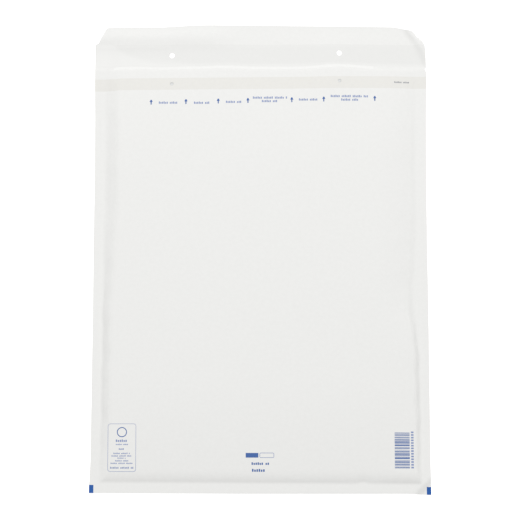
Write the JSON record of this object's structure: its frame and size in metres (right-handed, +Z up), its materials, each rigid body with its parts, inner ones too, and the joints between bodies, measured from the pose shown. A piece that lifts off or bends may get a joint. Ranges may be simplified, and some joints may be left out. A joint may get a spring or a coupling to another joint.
{
  "type": "padded envelope",
  "caption": "Large white padded mailing envelope, lying on its back with its gummed flap open: sealed paper pocket lined with bubble film, release strip on the flap, punched fastener holes.",
  "frame": {"origin": "on the table, under the middle of the whole outline, flap included", "axes": "+Z up out of the front panel, +X to the right as the front is read, +Y from the bottom edge towards the flap"},
  "size_m": [0.37, 0.5295, 0.0125],
  "materials": {
    "paper": "white machine-glazed kraft paper, matte with a faint sheen",
    "bubble_film": "clear polyethylene bubble film, glossy and see-through",
    "adhesive": "pressure-sensitive hot-melt, faintly amber and glossy",
    "liner": "siliconised release paper, white, satin"
  },
  "bodies": {
    "root": {"paper_envelope": "paper", "bubble_lining": "bubble_film", "adhesive_strip": "adhesive", "release_liner": "liner"}
  },
  "joints": []
}
